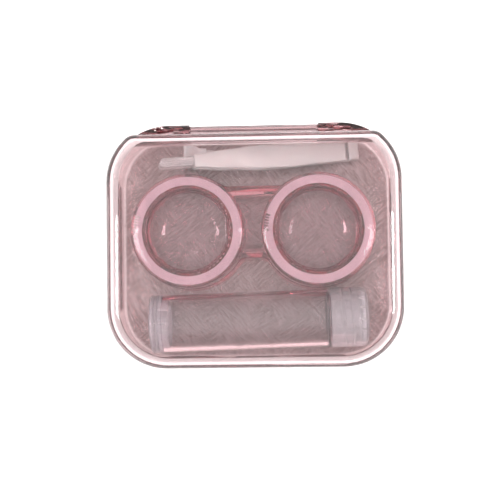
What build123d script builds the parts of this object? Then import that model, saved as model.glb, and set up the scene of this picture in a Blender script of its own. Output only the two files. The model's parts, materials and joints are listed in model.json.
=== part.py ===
from build123d import *

import os
from math import radians, tan

# Travel kit for contact lenses. Millimetres, +X to the right, +Y to the hinge, +Z up.
# The origin is the centre of the flat underside.

# Box: a tray and a hinged lid with the same rounded outline
box_width = 80.0
box_depth = 67.0
box_height = 25.0
corner_radius = 16.5
wall = 1.6
floor = 1.8
rim_height = 12.9
draft = 2.0
lid_gap = 0.15
lid_top = 1.8
lid_back = 30.1
lid_back_corner = 4.0
lid_draft = 1.2

# Rim lip of the tray, and the skirt of the lid round it
lip_width = 0.7
lip_height = 1.4
skirt_gap = 0.3
lip_back = 12.0

# Hinge along X
hinge_y = 31.6
hinge_z = 14.0
knuckle_radius = 1.3
knuckle_half = 17.5
recess_half = 17.9
recess_bottom = 12.0
pocket_x = 24.6
pin_radius = 0.75
pin_hole_radius = 0.81
pin_length = 2.6
ear_radius = 1.2
ear_bottom = 11.3
ear_back_rise = 0.4

# Lens case: two wells in one moulding
well_spacing = 36.0
lens_case_x = -0.5
lens_case_y = 4.0
lens_case_bottom = 2.0
deck_radius = 16.7
deck_draft = 5.0
skirt_thickness = 1.7
deck_top = 8.7
deck_thickness = 1.3
neck_radius = 14.1
neck_top = 14.5
well_radius = 12.85
well_bottom = 3.4
bowl_fillet = 6.5
rib_height = 0.7
rib_width = 0.7
bridge_back = 13.4
bridge_front = -8.1
bridge_half = 11.0

# Screw caps of the wells
cap_bottom = 9.1
cap_top = 17.0
cap_plate = 1.1
cap_radius_bottom = 16.0
cap_radius_top = 15.6
cap_bore = 14.85
plug_radius = 12.5
window_bottom = 11.8
window_thickness = 1.0
cap_pitch = 3.0
neck_thread_start = 10.2
neck_thread_turned = 45

# Saline bottle, along its own axis
bottle_length = 60.0
tube_radius = 8.0
tube_bore = 7.0
neck_pipe_radius = 6.5
neck_pipe_bore = 5.2
shoulder_start = 49.4
shoulder_end = 50.2
bottle_neck_end = 57.2
bottle_cap_radius = 8.3
bottle_cap_bore = 7.4
bottle_cap_length = 10.2
bottle_pitch = 2.4
bottle_thread_start = 50.9
base_plug_length = 3.4
bottle_left = (-29.2, -21.8)
bottle_turn = 1.5

# Tweezers, from the heel along the arms
heel = (27.9, 26.8)
tweezers_turn = 184.8
tweezers_rise = 10.6
heel_raise = 0.7
arm_thickness = 1.3
arm_gap = 1.2
arm_spread = 3.2
arm_length = 46.0
arm_root = 2.4
arm_lift = (arm_gap + arm_thickness) / 2
tongue_length = 7.0
tip_length = 9.4
tip_half_width = 1.2

# Applicator: a thin stick with a soft suction cup
stick_radius = 1.3
stick_length = 28.0
suction_radius = 4.6
suction_length = 6.4
applicator_rim = (-20.2, 26.2)
applicator_turn = 1.0
applicator_drop = 5.8

rest_gap = 0.1


def write(name, shape):
    shape.label = name
    export_step(shape, f"parts/{name}.step")


def outline_block(inset, low, high, taper):
    """The box outline, inset, extruded between two heights with a draft."""
    outline = RectangleRounded(
        box_width - 2 * inset, box_depth - 2 * inset, corner_radius - inset
    )
    return Pos(0, 0, low) * extrude(outline, amount=high - low, taper=taper)


def edges_near(shape, height, reach=0.05):
    return shape.edges().filter_by_position(Axis.Z, height - reach, height + reach)


def ring_of_revolution(points):
    """Turns a closed outline of (radius, height) points about Z."""
    return revolve(make_face(Plane.XZ * Polyline(points, close=True)), Axis.Z)


def thread_ridge(root, crest, width, pitch, start, turns, turned=0.0):
    """A helical ridge from the root radius to the crest radius, right-handed."""
    path = Helix(pitch=pitch, height=pitch * turns, radius=root)
    height = crest - root
    bury = 0.25 if height > 0 else -0.25
    tooth = Polyline(
        (-bury, -width / 2),
        (0, -width / 2),
        (height, -width / 4),
        (height, width / 4),
        (0, width / 2),
        (-bury, width / 2),
        close=True,
    )
    section = Plane(origin=path @ 0, x_dir=(1, 0, 0), z_dir=path % 0) * make_face(tooth)
    return Pos(0, 0, start) * Rot(0, 0, turned) * sweep(section, path=path, is_frenet=True)


def ear_section():
    """The hinge ears in section: round in front of the axis, falling to the back."""
    top = hinge_z + ear_radius
    front = hinge_y - ear_radius
    back = box_depth / 2 + 0.1
    edge = [
        Line((front, ear_bottom), (front, hinge_z)),
        CenterArc((hinge_y, hinge_z), ear_radius, 180, -90),
        Line((hinge_y, top), (back, hinge_z + ear_back_rise)),
        Line((back, hinge_z + ear_back_rise), (back, ear_bottom)),
        Line((back, ear_bottom), (front, ear_bottom)),
    ]
    return make_face(Curve() + edge)


def base_tray():
    slope = tan(radians(draft))
    inset_low = rim_height * slope
    tray = outline_block(inset_low, 0, rim_height, -draft)
    tray = fillet(edges_near(tray, 0), 2.6)

    # hinge ears, cut from the same outline
    ears = outline_block(0, ear_bottom, hinge_z + ear_radius, 0)
    section = extrude(Plane.YZ * ear_section(), amount=box_width / 2, both=True)
    tray += ears & section

    inner_low = inset_low - floor * slope + wall
    cavity = outline_block(inner_low, floor, rim_height + 5, -draft)
    cavity = fillet(edges_near(cavity, floor), 1.8)
    kept = Pos(0, hinge_y - ear_radius + 10, ear_bottom + 10) * Box(box_width, 20, 20)
    tray -= cavity - kept

    # room for the lid's knuckle, pin holes and cored pockets in the ears
    tray -= Pos(0, hinge_y + 1, recess_bottom + 3) * Box(2 * recess_half, 6, 6)
    for side in (-1, 1):
        hole = Cylinder(pin_hole_radius, pin_length + 0.2)
        hole_x = side * (recess_half + (pin_length + 0.2) / 2 - 0.1)
        tray -= Pos(hole_x, hinge_y, hinge_z) * Rot(0, 90, 0) * hole
        tray -= Pos(side * pocket_x, hinge_y + 0.1, 14.4) * Box(4.8, 1.5, 3.6)

    # lip round the front and sides
    rim_inset = wall - lip_width
    lip = outline_block(rim_inset, rim_height - 0.5, rim_height + lip_height, 0)
    lip -= outline_block(wall, rim_height - 1, rim_height + 3, 0)
    lip &= Pos(0, lip_back - 50, rim_height) * Box(box_width, 100, 10)
    tray += lip

    # thumb notch under the lid's front edge
    notch_radius = 25.0
    notch_y = 0.8 - box_depth / 2 - notch_radius
    notch = Pos(0, notch_y, rim_height) * Cylinder(notch_radius, 5.6)
    return tray - notch


def lid_outline(inset):
    """The box outline cut straight at the back, with its own back corners."""
    outline = RectangleRounded(
        box_width - 2 * inset, box_depth - 2 * inset, corner_radius - inset
    )
    back = lid_back - inset
    outline -= Pos(0, back + 20) * Rectangle(2 * box_width, 40)
    corners = [v for v in outline.vertices() if v.Y > back - 0.01]
    return fillet(corners, lid_back_corner - inset)


def lid_cover():
    low = rim_height + lid_gap
    lid = Pos(0, 0, low) * extrude(lid_outline(0), amount=box_height - low, taper=lid_draft)
    lid = fillet(edges_near(lid, box_height), 3.6)

    ceiling = box_height - lid_top
    hollow = extrude(lid_outline(wall), amount=ceiling - low + 1, taper=lid_draft)
    hollow = Pos(0, 0, low - 1) * hollow
    lid -= fillet(edges_near(hollow, ceiling), 2.2)

    # rebate that makes room for the tray's lip
    rebate_inset = wall - lip_width - skirt_gap
    rebate = outline_block(rebate_inset, low - 1, rim_height + lip_height + 0.3, 0)
    rebate &= Pos(0, lip_back + 1.5 - 50, rim_height) * Box(2 * box_width, 100, 30)
    lid -= rebate

    # hinge knuckle with a trunnion at each end
    web_depth = hinge_y - lid_back + wall
    web = Pos(0, hinge_y - web_depth / 2, hinge_z + 0.1) * Box(2 * knuckle_half, web_depth, 2.4)
    knuckle = Rot(0, 90, 0) * Cylinder(knuckle_radius, 2 * knuckle_half)
    trunnions = Rot(0, 90, 0) * Cylinder(pin_radius, 2 * (knuckle_half + pin_length))
    lid += web
    lid += Pos(0, hinge_y, hinge_z) * knuckle
    lid += Pos(0, hinge_y, hinge_z) * trunnions

    # detent nubs inside the front of the skirt
    skirt_face = box_depth / 2 - rebate_inset
    for side in (-1, 1):
        nub = Pos(side * 9, -skirt_face, rim_height + 0.8) * Sphere(0.2)
        lid += nub
    return lid


def well_profile(inset):
    corner = Pos(0, 0) * Rectangle(
        well_radius - inset, 12.0, align=(Align.MIN, Align.MIN)
    )
    corner = Pos(0, well_bottom + inset) * corner
    turn = corner.vertices().sort_by(Axis.Y)[:2].sort_by(Axis.X)[-1]
    return fillet(turn, bowl_fillet - inset)


def well_cavity(inset):
    return revolve(Plane.XZ * well_profile(inset), Axis.Z)


def case_body():
    shell = well_radius - neck_radius
    outer = Pos(0, well_bottom + shell) * Rectangle(
        neck_radius, neck_top - well_bottom - shell, align=(Align.MIN, Align.MIN)
    )
    turn = outer.vertices().sort_by(Axis.Y)[:2].sort_by(Axis.X)[-1]
    outer = fillet(turn, bowl_fillet - shell)
    well_outside = revolve(Plane.XZ * outer, Axis.Z)
    well_outside += thread_ridge(
        neck_radius, neck_radius + 0.4, 0.9, cap_pitch, neck_thread_start, 1.0, neck_thread_turned
    )

    half = well_spacing / 2
    plan = Pos(-half, 0) * Circle(deck_radius) + Pos(half, 0) * Circle(deck_radius)
    bridge_width = bridge_back - bridge_front
    plan += Pos(0, (bridge_back + bridge_front) / 2) * Rectangle(2 * bridge_half, bridge_width)
    crooks = [v for v in plan.vertices() if abs(v.X) < bridge_half - 0.5]
    plan = fillet(crooks, 2.4)

    height = deck_top - lens_case_bottom
    body = Pos(0, 0, lens_case_bottom) * extrude(plan, amount=height, taper=deck_draft)
    body = fillet(edges_near(body, deck_top), 0.5)
    inside = offset(plan, -skirt_thickness, kind=Kind.ARC)
    body -= Pos(0, 0, lens_case_bottom) * extrude(
        inside, amount=height - deck_thickness, taper=deck_draft
    )
    ribs = well_cavity(0) - well_cavity(rib_height)
    spokes = Part()
    for index in range(8):
        spoke = Pos(9.4, 0, well_bottom + 3.0) * Box(8.0, rib_width, 7.0)
        spokes += Rot(0, 0, 22.5 + 45 * index) * spoke
    ribs &= spokes
    for side in (-1, 1):
        place = Pos(side * half, 0, 0)
        body += place * well_outside
        body -= place * well_cavity(0)
        body += place * ribs
    return Pos(lens_case_x, lens_case_y, 0) * body


def well_cap():
    window_top = window_bottom + window_thickness
    cap = ring_of_revolution(
        [
            (0, window_bottom),
            (11.7, window_bottom),
            (plug_radius, window_bottom + 0.6),
            (plug_radius, cap_top - cap_plate),
            (cap_bore, cap_top - cap_plate),
            (cap_bore, cap_bottom),
            (cap_radius_bottom, cap_bottom),
            (cap_radius_top, cap_top - 0.7),
            (cap_radius_top - 0.5, cap_top),
            (11.9, cap_top),
            (11.6, cap_top - 0.4),
            (11.4, window_top + 1.6),
            (10.95, window_top + 1.4),
            (10.8, window_top),
            (0, window_top),
        ]
    )
    later = 0.4  # part of a turn by which this ridge starts after the neck's
    start = neck_thread_start + (later - 0.5) * cap_pitch
    turned = neck_thread_turned + 360 * later
    cap += thread_ridge(cap_bore, cap_bore - 0.4, 0.9, cap_pitch, start, 0.9, turned)
    return cap


def cap_seal():
    low = neck_top + 0.12
    high = cap_top - cap_plate - 0.05
    return ring_of_revolution(
        [
            (plug_radius + 0.1, low),
            (cap_bore - 0.1, low),
            (cap_bore - 0.1, high),
            (plug_radius + 0.1, high),
        ]
    )


def bottle_frame():
    """Turns a part built along +Z into place along the bottle's axis."""
    axis_height = floor + rest_gap + bottle_cap_radius
    return (
        Pos(bottle_left[0], bottle_left[1], axis_height)
        * Rot(0, 0, bottle_turn)
        * Rot(0, 90, 0)
    )


def bottle_tube():
    tube = ring_of_revolution(
        [
            (tube_radius, base_plug_length),
            (tube_radius, shoulder_start),
            (tube_radius - 0.7, shoulder_start + 0.2),
            (neck_pipe_radius + 0.3, shoulder_end - 0.3),
            (neck_pipe_radius, shoulder_end),
            (neck_pipe_radius, bottle_neck_end),
            (neck_pipe_bore, bottle_neck_end),
            (neck_pipe_bore, shoulder_end - 0.6),
            (tube_bore, shoulder_start - 0.6),
            (tube_bore, base_plug_length),
        ]
    )
    ridge = thread_ridge(
        neck_pipe_radius, neck_pipe_radius + 0.5, 0.8, bottle_pitch, bottle_thread_start, 2.0
    )
    return tube + ridge


def bottle_base_plug():
    """Pressed into the open end of the tube, with two grooves round its flange."""
    flange = tube_radius + 0.05
    plug = ring_of_revolution(
        [
            (0, 0.6),
            (flange - 1.8, 0.6),
            (flange - 1.3, 0),
            (flange - 0.4, 0),
            (flange, 0.4),
            (flange, 1.0),
            (flange - 0.35, 1.15),
            (flange - 0.35, 1.45),
            (flange, 1.6),
            (flange, 2.2),
            (flange - 0.35, 2.35),
            (flange - 0.35, 2.65),
            (flange, 2.8),
            (flange, base_plug_length - 0.02),
            (tube_bore - 0.02, base_plug_length - 0.02),
            (tube_bore - 0.02, base_plug_length + 1.2),
            (tube_bore - 0.5, base_plug_length + 1.6),
            (tube_bore - 1.3, base_plug_length + 1.6),
            (tube_bore - 1.3, 2.0),
            (0, 2.0),
        ]
    )
    return plug


def bottle_dropper_plug():
    """Hollow plug in the neck, whose nozzle meters the drops."""
    end = bottle_neck_end
    return ring_of_revolution(
        [
            (0.5, end - 5.0),
            (neck_pipe_bore - 0.9, end - 5.0),
            (neck_pipe_bore - 0.02, end - 4.2),
            (neck_pipe_bore - 0.02, end + 0.01),
            (neck_pipe_radius - 0.3, end + 0.01),
            (neck_pipe_radius - 0.3, end + 0.7),
            (2.2, end + 0.7),
            (2.2, end - 3.2),
            (0.5, end - 3.6),
        ]
    )


def bottle_cap():
    start = bottle_length - bottle_cap_length
    cap = ring_of_revolution(
        [
            (bottle_cap_bore, start),
            (bottle_cap_radius - 0.3, start),
            (bottle_cap_radius, start + 0.3),
            (bottle_cap_radius, bottle_length - 1.6),
            (bottle_cap_radius - 0.3, bottle_length - 0.8),
            (bottle_cap_radius - 0.8, bottle_length - 0.25),
            (bottle_cap_radius - 1.5, bottle_length),
            (0, bottle_length),
            (0, bottle_length - 1.0),
            (bottle_cap_bore, bottle_length - 1.0),
        ]
    )
    start = bottle_thread_start + bottle_pitch / 2
    ridge = thread_ridge(bottle_cap_bore, bottle_cap_bore - 0.6, 0.8, bottle_pitch, start, 2.0)
    return cap + ridge


def bottle_cap_liner():
    return ring_of_revolution(
        [
            (0, bottle_length - 1.75),
            (bottle_cap_bore - 0.1, bottle_length - 1.75),
            (bottle_cap_bore - 0.1, bottle_length - 1.05),
            (0, bottle_length - 1.05),
        ]
    )


def tweezers_frame():
    height = floor + rest_gap + heel_raise + arm_gap / 2 + arm_thickness
    return (
        Pos(heel[0], heel[1], height)
        * Rot(0, 0, tweezers_turn)
        * Rot(0, -tweezers_rise, 0)
    )


def arm_plan():
    """One arm seen from above, from the heel at zero to the end of its tongue."""
    edge = Spline(
        (arm_root, 2.8), (9, 3.2), (19, 3.5), (27, 3.4), (36, 2.7), (arm_length, 1.9)
    )
    tongue_end = arm_length + tongue_length
    outline = [
        edge,
        Line((arm_length, 1.9), (arm_length, 0.7)),
        Line((arm_length, 0.7), (tongue_end, 0.5)),
        Line((tongue_end, 0.5), (tongue_end, 0)),
    ]
    upper = Curve() + outline
    root = Line((arm_root, -2.8), (arm_root, 2.8))
    return make_face(upper + mirror(upper, Plane.XZ) + root)


def arm_blade():
    half = arm_thickness / 2
    blade = extrude(arm_plan(), amount=half, both=True)
    tongue = Pos(arm_length + 10, 0, 0) * Box(20, 10, arm_thickness)
    slim = Pos(arm_length + 10, 0, 0) * Box(20, 10, arm_thickness - 0.5)
    return blade - (tongue - slim)


def tip_sleeve():
    """A soft sleeve over the tongue, rounded at its end."""
    start = arm_length + 0.05
    body_length = tip_length - tip_half_width
    plan = Pos(start + body_length / 2, 0) * Rectangle(body_length, 2 * tip_half_width)
    plan += Pos(start + body_length, 0) * Circle(tip_half_width)
    sleeve = extrude(plan, amount=0.85, both=True)
    return sleeve - arm_blade()


def upper_arm_place():
    """The upper arm opens about the round root at its heel end."""
    return Pos(arm_root, 0, arm_lift) * Rot(0, -arm_spread, 0) * Pos(-arm_root, 0, 0)


def lower_arm_place():
    return Pos(0, 0, -arm_lift) * Rot(180, 0, 0)


def tweezers_upper_arm():
    root = Rot(90, 0, 0) * Cylinder(arm_thickness / 2, 5.6)
    return arm_blade() + Pos(arm_root, 0, 0) * root


def tweezers_lower_arm():
    """The lower arm with the U-shaped heel, whose upper end is hollowed for the root."""
    bend = Cylinder(arm_gap / 2 + arm_thickness, 5.6) - Cylinder(arm_gap / 2, 6)
    bend = Rot(90, 0, 0) * bend
    bend &= Pos(-5, 0, 0) * Box(10, 10, 10)
    lower_root = Pos(arm_root / 2, 0, -arm_lift) * Box(arm_root, 5.6, arm_thickness)
    upper_root = Pos(arm_root / 2 - 0.3, 0, arm_lift) * Box(arm_root - 0.6, 5.6, arm_thickness)
    hollow = Rot(90, 0, 0) * Cylinder(arm_thickness / 2 + 0.06, 6)
    upper_root -= Pos(arm_root, 0, arm_lift) * hollow
    return lower_arm_place() * arm_blade() + bend + lower_root + upper_root


def applicator_frame():
    """The applicator's axis runs from the suction cup's rim down to the stick's end."""
    height = floor + rest_gap + suction_radius
    return (
        Pos(applicator_rim[0], applicator_rim[1], height)
        * Rot(0, 0, applicator_turn)
        * Rot(0, 90 + applicator_drop, 0)
    )


def applicator_stick():
    """A thin rod with a pointed end inside the cup, a collar and a rounded tail."""
    start = 3.0
    end = start + stick_length
    return ring_of_revolution(
        [
            (0, start),
            (0.8, start),
            (0.8, suction_length),
            (stick_radius, suction_length + 0.05),
            (stick_radius, suction_length + 1.6),
            (stick_radius - 0.25, suction_length + 2.0),
            (stick_radius - 0.25, end - 4.0),
            (stick_radius, end - 3.4),
            (stick_radius, end - 0.5),
            (stick_radius - 0.5, end),
            (0, end),
        ]
    )


def applicator_cup():
    """A soft cup: a wide thin rim, a cone and a neck over the stick."""
    return ring_of_revolution(
        [
            (suction_radius, 0),
            (suction_radius, 0.5),
            (3.9, 1.5),
            (2.6, 3.2),
            (1.9, 4.4),
            (1.8, suction_length),
            (0.82, suction_length),
            (0.82, 2.95),
            (0, 2.95),
            (0, 2.3),
            (1.8, 1.9),
            (suction_radius - 0.7, 0),
        ]
    )


os.makedirs("parts", exist_ok=True)

write("base_tray", base_tray())
write("lid_cover", lid_cover())
write("case_body", case_body())
for side, name in ((-1, "left"), (1, "right")):
    place = Pos(lens_case_x + side * well_spacing / 2, lens_case_y, 0)
    write(f"{name}_cap", place * well_cap())
    write(f"{name}_cap_seal", place * cap_seal())

bottle = bottle_frame()
write("bottle_tube", bottle * bottle_tube())
write("bottle_base_plug", bottle * bottle_base_plug())
write("bottle_dropper_plug", bottle * bottle_dropper_plug())
write("bottle_cap", bottle * bottle_cap())
write("bottle_cap_liner", bottle * bottle_cap_liner())

tweezers = tweezers_frame()
write("tweezers_lower_arm", tweezers * tweezers_lower_arm())
write("tweezers_upper_arm", tweezers * upper_arm_place() * tweezers_upper_arm())
write("tweezers_lower_tip", tweezers * lower_arm_place() * tip_sleeve())
write("tweezers_upper_tip", tweezers * upper_arm_place() * tip_sleeve())

applicator = applicator_frame()
write("applicator_stick", applicator * applicator_stick())
write("applicator_cup", applicator * applicator_cup())
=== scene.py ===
import json
from math import cos, log, pi, radians, sin, tan

import bmesh
import bpy
from mathutils import Matrix, Vector


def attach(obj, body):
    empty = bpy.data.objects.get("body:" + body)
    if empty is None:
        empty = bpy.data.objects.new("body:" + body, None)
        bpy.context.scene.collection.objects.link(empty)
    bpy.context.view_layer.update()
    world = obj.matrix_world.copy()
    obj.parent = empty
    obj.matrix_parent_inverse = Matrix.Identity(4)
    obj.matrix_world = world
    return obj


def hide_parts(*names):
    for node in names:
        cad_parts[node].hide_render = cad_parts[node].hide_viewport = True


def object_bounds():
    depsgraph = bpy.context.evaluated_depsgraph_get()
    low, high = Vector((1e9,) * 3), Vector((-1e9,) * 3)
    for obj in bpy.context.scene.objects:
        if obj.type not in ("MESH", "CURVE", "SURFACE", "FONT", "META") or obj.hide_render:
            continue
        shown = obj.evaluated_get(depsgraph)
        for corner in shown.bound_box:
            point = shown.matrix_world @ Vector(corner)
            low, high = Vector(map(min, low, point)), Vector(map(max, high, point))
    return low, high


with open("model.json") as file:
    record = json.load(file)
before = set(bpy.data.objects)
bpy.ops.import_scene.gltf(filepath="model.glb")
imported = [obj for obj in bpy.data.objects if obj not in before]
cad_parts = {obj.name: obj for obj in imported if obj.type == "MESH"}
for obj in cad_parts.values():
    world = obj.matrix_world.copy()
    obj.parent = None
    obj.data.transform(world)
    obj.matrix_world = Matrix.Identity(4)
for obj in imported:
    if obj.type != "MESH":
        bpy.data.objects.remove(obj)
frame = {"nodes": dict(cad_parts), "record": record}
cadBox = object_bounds()
nodes = frame["nodes"]
record = frame["record"]
mm = 0.001
print("frame in:", len(nodes), "nodes")


# Shader maths as plain expressions: a wire is one output socket of a material's tree
class Wire:
    def __init__(self, finish, socket):
        self.finish = finish
        self.socket = socket

    def maths(self, operation, first, second):
        return self.finish.add("ShaderNodeMath", {"operation": operation}, {0: first, 1: second})

    def __add__(self, other):
        return self.maths("ADD", self, other)

    __radd__ = __add__

    def __sub__(self, other):
        return self.maths("SUBTRACT", self, other)

    def __rsub__(self, other):
        return self.maths("SUBTRACT", other, self)

    def __mul__(self, other):
        return self.maths("MULTIPLY", self, other)

    __rmul__ = __mul__

    def __abs__(self):
        return self.maths("ABSOLUTE", self, 0.0)


class Finish:
    def __init__(self, name):
        self.material = bpy.data.materials.new(name)
        self.material.use_nodes = True
        self.tree = self.material.node_tree
        self.tree.nodes.clear()
        self.place = self.add("ShaderNodeTexCoord", output="Object")

    def add(self, kind, settings=None, inputs=None, output=0):
        node = self.tree.nodes.new(kind)
        for name, value in (settings or {}).items():
            setattr(node, name, value)
        for name, value in (inputs or {}).items():
            if isinstance(value, Wire):
                self.tree.links.new(value.socket, node.inputs[name])
            else:
                node.inputs[name].default_value = value
        return Wire(self, None if output is None else node.outputs[output])

    def stretched(self, stretch, turn):
        return self.add("ShaderNodeMapping", {"vector_type": "TEXTURE"}, {
            "Vector": self.place, "Rotation": (0, 0, radians(turn)), "Scale": stretch})

    def noise(self, scale, detail=2.0, vector=None, warp=0.0):
        return self.add("ShaderNodeTexNoise", inputs={
            "Vector": vector or self.place, "Scale": scale, "Detail": detail, "Distortion": warp})

    def fade(self, value, low, high):  # 0 at low, 1 at high, held outside
        return self.add("ShaderNodeMapRange", inputs={"Value": value, "From Min": low, "From Max": high})

    def upward(self, vector):
        return self.add("ShaderNodeSeparateXYZ", inputs={"Vector": vector}, output="Z")

    def steepness(self, level, upright):  # 0 on level faces, 1 on upright ones
        normal = self.add("ShaderNodeNewGeometry", output="Normal")
        return self.fade(abs(self.upward(normal)), level, upright)

    def mixed(self, factor, first, second):
        inputs = {0: factor, 6: first, 7: second}  # the colour sockets of a Mix node
        return self.add("ShaderNodeMix", {"data_type": "RGBA"}, inputs, output=2)

    def bump(self, height, distance):
        return self.add("ShaderNodeBump", inputs={"Height": height, "Distance": distance})

    def done(self, surface, volume=None):
        inputs = {"Surface": surface}
        if volume:
            inputs["Volume"] = volume
        self.add("ShaderNodeOutputMaterial", inputs=inputs, output=None)
        return self.material


def rgba(colour):
    return (*colour, 1.0)


# In every finish here, a "size" is a noise scale, so a larger number gives a finer pattern

# Clear plastics: "through" is the share of each colour that one millimetre lets pass
# and "side" is a painted shade: a darker tint painted into the colour of upright faces and rounded edges
roseTray = {"through": (0.972, 0.908, 0.914), "side": (0.88, 0.74, 0.75), "ior": 1.52, "roughness": 0.03,
            "ripple": 0.05 * mm}
roseCase = {"through": (0.950, 0.800, 0.825), "side": (0.92, 0.78, 0.80), "ior": 1.5, "roughness": 0.02,
            "ripple": 0.03 * mm}
roseCap = {"through": (0.965, 0.890, 0.905), "side": (0.95, 0.88, 0.89), "ior": 1.5, "roughness": 0.02,
           "ripple": 0.02 * mm}
clearLid = {"through": (0.955, 0.922, 0.926), "side": (0.83, 0.775, 0.775), "ior": 1.5, "roughness": 0.02,
            "ripple": 0.02 * mm}
clearBottle = {"through": (0.975, 0.955, 0.960), "side": (0.97, 0.95, 0.955), "ior": 1.42,
               "roughness": 0.02, "ripple": 0.03 * mm}
paintedShadeTilt = {"level": 0.97, "upright": 0.35}  # how far up a face's normal points where the painted side shade starts and ends
waves = {"size": 70}  # the slow ripple of every clear surface, whose height is each look's own
scuffs = {"size": 900, "stretch": (1, 9, 4), "turn": 35, "low": 0.55, "high": 0.75, "dull": 0.04,
          "depth": 0.03}

# The tray's underside is grained, with streaks and a few specks
grain = {"from": 0.0030, "to": 0.0020, "light": (0.995, 0.965, 0.96), "dark": (0.68, 0.59, 0.575),
         "streakSize": 1700, "streakStretch": (1, 6, 1), "streakTurn": -52, "crossTurn": 38,
         "streakWarp": 0.6, "streakLow": 0.42, "streakHigh": 0.62, "cloudSize": 95, "cloudLow": 0.42,
         "cloudHigh": 0.58, "cloudShare": 0.06, "speckSize": 1100, "speckLow": 0.70, "speckHigh": 0.74,
         "depth": 2.0}


def clearPlastic(name, look, grainy=False):
    finish = Finish(name)
    slow = finish.noise(waves["size"], detail=1.0)
    marks = finish.noise(scuffs["size"], vector=finish.stretched(scuffs["stretch"], scuffs["turn"]))
    fine = finish.fade(marks, scuffs["low"], scuffs["high"])
    relief = slow + fine * scuffs["depth"]
    # painted shade: upright faces and rounded edges take the darker "side" tint in their colour, standing
    # in for walls that look darker seen edge-on
    paintedSideShade = finish.steepness(paintedShadeTilt["level"], paintedShadeTilt["upright"])
    colour = finish.mixed(paintedSideShade, rgba((1, 1, 1)), rgba(look["side"]))
    if grainy:
        under = finish.fade(finish.upward(finish.place), grain["from"], grain["to"])
        along = finish.stretched(grain["streakStretch"], grain["streakTurn"])
        across = finish.stretched(grain["streakStretch"], grain["crossTurn"])
        cloud = finish.fade(finish.noise(grain["cloudSize"]), grain["cloudLow"], grain["cloudHigh"])
        streaks = finish.noise(grain["streakSize"], 3.0, along, grain["streakWarp"]) * cloud
        crossing = finish.noise(grain["streakSize"], 3.0, across, grain["streakWarp"])
        streaks = streaks + crossing * (1 - cloud)
        dots = finish.noise(grain["speckSize"], detail=1.0)
        speck = finish.fade(dots, grain["speckLow"], grain["speckHigh"])
        tone = streaks + (cloud - 0.5) * grain["cloudShare"]
        dark = finish.fade(tone, grain["streakLow"], grain["streakHigh"]) + speck
        grained = finish.mixed(dark, rgba(grain["light"]), rgba(grain["dark"]))
        colour = finish.mixed(under, colour, grained)
        relief = relief + under * streaks * grain["depth"]
    surface = finish.add("ShaderNodeBsdfPrincipled", inputs={
        "Base Color": colour, "Roughness": look["roughness"] + fine * scuffs["dull"],
        "IOR": look["ior"], "Transmission Weight": 1.0, "Normal": finish.bump(relief, look["ripple"])})
    passed = [1 + log(share) for share in look["through"]]  # for a density of one per millimetre
    volume = finish.add("ShaderNodeVolumeAbsorption", inputs={"Color": rgba(passed), "Density": 1 / mm})
    return finish.done(surface, volume)


milkyPlastic = {"colour": (0.64, 0.59, 0.58), "shade": (0.58, 0.53, 0.525), "roughness": 0.3, "glow": 0.3}
sealRubber = {"colour": (0.86, 0.62, 0.70), "shade": (0.80, 0.57, 0.65), "roughness": 0.45, "glow": 0.0}
cupSilicone = {"colour": (0.90, 0.87, 0.865), "shade": (0.84, 0.80, 0.80), "roughness": 0.4, "glow": 0.3}
linerFoam = {"colour": (0.88, 0.86, 0.88), "shade": (0.80, 0.78, 0.80), "roughness": 0.7, "glow": 0.0}
mouldSkin = {"cloudSize": 160, "cloudLow": 0.35, "cloudHigh": 0.7, "cloudDull": 0.08, "cloudDepth": 2.0,
             "fineSize": 5200, "ior": 1.49, "glowReach": (3 * mm, 2 * mm, 2 * mm), "depth": 0.02 * mm}


def solidPlastic(name, look):
    finish = Finish(name)
    patches = finish.noise(mouldSkin["cloudSize"], detail=3.0)
    cloud = finish.fade(patches, mouldSkin["cloudLow"], mouldSkin["cloudHigh"])
    relief = finish.noise(mouldSkin["fineSize"]) + cloud * mouldSkin["cloudDepth"]
    surface = finish.add("ShaderNodeBsdfPrincipled", inputs={
        "Base Color": finish.mixed(cloud, rgba(look["colour"]), rgba(look["shade"])),
        "Roughness": look["roughness"] + cloud * mouldSkin["cloudDull"], "IOR": mouldSkin["ior"],
        "Subsurface Weight": look["glow"], "Subsurface Radius": mouldSkin["glowReach"],
        "Subsurface Scale": 1.0, "Normal": finish.bump(relief, mouldSkin["depth"])})
    return finish.done(surface)


frostedCap = {"colour": (0.96, 0.93, 0.96), "roughness": 0.12, "clear": 0.80}
frostedPlug = {"colour": (0.95, 0.92, 0.975), "roughness": 0.08, "clear": 0.76}
softTip = {"colour": (0.96, 0.94, 0.94), "roughness": 0.10, "clear": 0.88}
frosting = {"cloudSize": 220, "cloudDull": 0.06, "ior": 1.42, "depth": 0.04 * mm}


def frostedPlastic(name, look):
    finish = Finish(name)
    cloud = finish.noise(frosting["cloudSize"], detail=3.0)
    surface = finish.add("ShaderNodeBsdfPrincipled", inputs={
        "Base Color": rgba(look["colour"]), "Roughness": look["roughness"] + cloud * frosting["cloudDull"],
        "IOR": frosting["ior"], "Transmission Weight": look["clear"],
        "Normal": finish.bump(cloud, frosting["depth"])})
    return finish.done(surface)


finishes = {
    "rose_clear": clearPlastic("roseTray", roseTray, grainy=True),
    "clear_lid": clearPlastic("clearLid", clearLid),
    "rose_case": clearPlastic("roseCase", roseCase),
    "rose_cap": clearPlastic("roseCap", roseCap),
    "lilac_seal": solidPlastic("lilacSeal", sealRubber),
    "clear_bottle": clearPlastic("clearBottle", clearBottle),
    "frosted_plug": frostedPlastic("frostedPlug", frostedPlug),
    "frosted_cap": frostedPlastic("frostedCap", frostedCap),
    "soft_liner": solidPlastic("softLiner", linerFoam),
    "milky_white": solidPlastic("milkyWhite", milkyPlastic),
    "soft_tip": frostedPlastic("softTip", softTip),
    "soft_white": solidPlastic("softWhite", cupSilicone),
}
slotOf = {row["node"]: row["material_slot"] for row in record["subparts"]}
bodyOf = {node: body for body, held in record["behaviour"]["bodies"].items() for node in held}
print("finishes made:", len(finishes))


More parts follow.
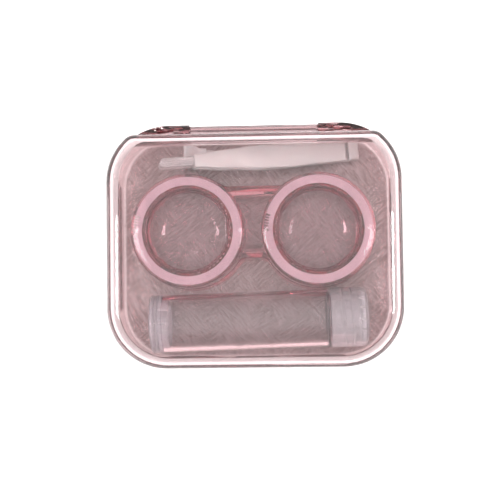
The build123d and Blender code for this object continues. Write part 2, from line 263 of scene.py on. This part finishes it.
def settle(name, work, node, crease):  # a finished mesh takes its node's place, body and finish
    mesh = bpy.data.meshes.new(name)
    work.to_mesh(mesh)
    work.free()
    mesh.shade_smooth()
    mesh.set_sharp_from_angle(angle=radians(crease))
    mesh.materials.append(finishes[slotOf[node]])
    piece = bpy.data.objects.new(name, mesh)
    bpy.context.collection.objects.link(piece)
    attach(piece, bodyOf[node])
    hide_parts(node)
    return piece


# Moulded pieces keep their shape from the design and get joined, smooth-shaded surfaces
moulding = {"join": 0.0002 * mm, "crease": 32}


def polish(node):
    work = bmesh.new()
    work.from_mesh(nodes[node].data)
    bmesh.ops.remove_doubles(work, verts=work.verts, dist=moulding["join"])
    piece = settle(node + "_moulding", work, node, moulding["crease"])
    even = piece.modifiers.new("even", "WEIGHTED_NORMAL")
    even.keep_sharp = True


# Tweezers: two crowned blades of one flexible strip, joined by a round bend at the heel,
# in millimetres and degrees, with each of its widths as (distance along the blade, half its width)
tweezers = {"heel": (27.9, 26.8, 4.5), "turn": 184.8, "rise": 10.6, "spread": 3.2, "lift": 1.25,
            "root": 2.4, "stub": 0.8, "length": 46.0, "thickness": 1.05, "crown": 0.3, "rampUp": 8.0,
            "edge": 0.3, "edgeSteps": 3, "edgeAngle": 50, "crease": 60, "stepsAlong": 60, "stepsAcross": 8,
            "widths": ((2.4, 2.75), (9, 3.1), (19, 3.42), (27, 3.3), (36, 2.6), (46, 1.75))}


def widthAt(along):
    rows = tweezers["widths"]
    if along <= rows[0][0]:
        return rows[0][1]
    for (before, low), (after, high) in zip(rows, rows[1:]):
        if along <= after:
            share = (along - before) / (after - before)
            return low + (high - low) * share * share * (3 - 2 * share)  # eased at both ends
    return rows[-1][1]


def makeBlade(node, lower):
    look = tweezers
    bend = pi * look["lift"]
    first = look["stub"] - look["root"] - bend if lower else look["root"]  # the lower one has the heel
    work = bmesh.new()
    bmesh.ops.create_grid(work, x_segments=look["stepsAlong"], y_segments=look["stepsAcross"], size=1)
    for vert in work.verts:
        run = first + (vert.co.x + 1) / 2 * (look["length"] - first)
        side = vert.co.y
        turned = min(pi, max(0.0, -run / look["lift"]))
        risen = min(1.0, max(0.0, run / look["rampUp"]))
        reach = look["lift"] + look["crown"] * (1 - side * side) * risen
        along = max(run, 0.0) + max(0.0, -run - bend) - reach * sin(turned)
        vert.co = (along, side * widthAt(run), reach * cos(turned))
    bmesh.ops.scale(work, vec=(mm, mm, mm), verts=work.verts)
    place = Matrix.Translation(Vector(look["heel"]) * mm)
    place = place @ Matrix.Rotation(radians(look["turn"]), 4, "Z")
    place = place @ Matrix.Rotation(radians(-look["rise"]), 4, "Y")
    if lower:
        place = place @ Matrix.Rotation(pi, 4, "X")
    else:
        pivot = Matrix.Translation((look["root"] * mm, 0, look["lift"] * mm))
        place = place @ pivot @ Matrix.Rotation(radians(-look["spread"]), 4, "Y") @ pivot.inverted()
    bmesh.ops.transform(work, matrix=place, verts=work.verts)
    piece = settle(node + "_blade", work, node, look["crease"])
    wall = piece.modifiers.new("wall", "SOLIDIFY")
    wall.thickness = look["thickness"] * mm
    wall.offset = 0
    soft = piece.modifiers.new("soft", "BEVEL")
    soft.width = look["edge"] * mm
    soft.segments = look["edgeSteps"]
    soft.limit_method = "ANGLE"
    soft.angle_limit = radians(look["edgeAngle"])


for node in nodes:
    if not node.endswith("_arm"):
        polish(node)
print("mouldings joined")
makeBlade("tweezers_lower_arm", lower=True)
makeBlade("tweezers_upper_arm", lower=False)
print("tweezers bent")


# Floor, world and lamps, with lengths in metres and powers in watts
studio = {"floorSize": 4.0, "floorGap": 0.1 * mm, "worldLow": 0.7, "worldHigh": 1.55}
palePaper = {"plain": (0.84, 0.84, 0.84), "speckled": (0.825, 0.825, 0.825), "fibreSize": 700,
             "fibreLow": 0.3, "fibreHigh": 0.7, "roughness": 0.8, "shine": 0.2, "depth": 0.05 * mm}
lamps = {"width": 0.14, "length": 0.11, "reach": 0.25, "height": 0.60, "along": 0.0, "leftPower": 1.8,
         "rightPower": 3.0, "target": (0, 0, 0.01)}


def makeFloor():
    work = bmesh.new()
    bmesh.ops.create_grid(work, x_segments=1, y_segments=1, size=studio["floorSize"] / 2,
                          matrix=Matrix.Translation((0, 0, cadBox[0].z - studio["floorGap"])))
    mesh = bpy.data.meshes.new("floor")
    work.to_mesh(mesh)
    work.free()
    floor = bpy.data.objects.new("floor", mesh)
    bpy.context.collection.objects.link(floor)
    finish = Finish("palePaper")
    fibre = finish.noise(palePaper["fibreSize"], detail=4.0)
    specks = finish.fade(fibre, palePaper["fibreLow"], palePaper["fibreHigh"])
    tone = finish.mixed(specks, rgba(palePaper["plain"]), rgba(palePaper["speckled"]))
    surface = finish.add("ShaderNodeBsdfPrincipled", inputs={
        "Base Color": tone, "Roughness": palePaper["roughness"], "Specular IOR Level": palePaper["shine"],
        "Normal": finish.bump(fibre, palePaper["depth"])})
    mesh.materials.append(finish.done(surface))


def aimed(thing, place, target, roll=0.0):
    back = (Vector(place) - Vector(target)).normalized()
    up = Matrix.Rotation(radians(-roll), 3, "Z") @ Vector((0, 1, 0))
    right = up.cross(back).normalized()
    turn = Matrix((right, back.cross(right), back)).transposed()
    thing.matrix_world = Matrix.Translation(place) @ turn.to_4x4()


def makeLamp(name, side, power):
    lamp = bpy.data.lights.new(name, "AREA")
    lamp.shape = "RECTANGLE"
    lamp.size = lamps["width"]
    lamp.size_y = lamps["length"]
    lamp.energy = power
    holder = bpy.data.objects.new(name, lamp)
    bpy.context.collection.objects.link(holder)
    aimed(holder, (side * lamps["reach"], lamps["along"], lamps["height"]), lamps["target"])
    holder.visible_camera = False


def makeWorld():
    world = bpy.data.worlds.new("studio")
    world.use_nodes = True
    tree = world.node_tree
    back = tree.nodes["Background"]
    sky = tree.nodes.new("ShaderNodeTexCoord")
    apart = tree.nodes.new("ShaderNodeSeparateXYZ")
    glow = tree.nodes.new("ShaderNodeMapRange")
    glow.inputs["To Min"].default_value = studio["worldLow"]
    glow.inputs["To Max"].default_value = studio["worldHigh"]
    tree.links.new(sky.outputs["Generated"], apart.inputs["Vector"])
    tree.links.new(apart.outputs["Z"], glow.inputs["Value"])
    tree.links.new(glow.outputs["Result"], back.inputs["Strength"])
    back.inputs["Color"].default_value = rgba((1, 1, 1))
    bpy.context.scene.world = world


# Camera, in metres and degrees
eye = {"place": (0.0082, -0.0114, 0.270), "target": (-0.0012, -0.0017, 0.020), "roll": 0.8,
       "halfAngle": 15.1, "nearest": 0.01}


def makeCamera():
    camera = bpy.data.cameras.new("eye")
    camera.lens = camera.sensor_width / 2 / tan(radians(eye["halfAngle"]))
    camera.clip_start = eye["nearest"]
    holder = bpy.data.objects.new("eye", camera)
    bpy.context.collection.objects.link(holder)
    aimed(holder, eye["place"], eye["target"], eye["roll"])
    bpy.context.scene.camera = holder


makeFloor()
makeWorld()
makeLamp("leftLamp", -1, lamps["leftPower"])
makeLamp("rightLamp", 1, lamps["rightPower"])
makeCamera()

bounces = {"most": 24, "through": 24, "transparent": 16, "glossy": 8}  # clear walls lie many deep
scene = bpy.context.scene
scene.view_settings.view_transform = "Standard"
scene.cycles.max_bounces = bounces["most"]
scene.cycles.transmission_bounces = bounces["through"]
scene.cycles.transparent_max_bounces = bounces["transparent"]
scene.cycles.glossy_bounces = bounces["glossy"]
print("studio ready")
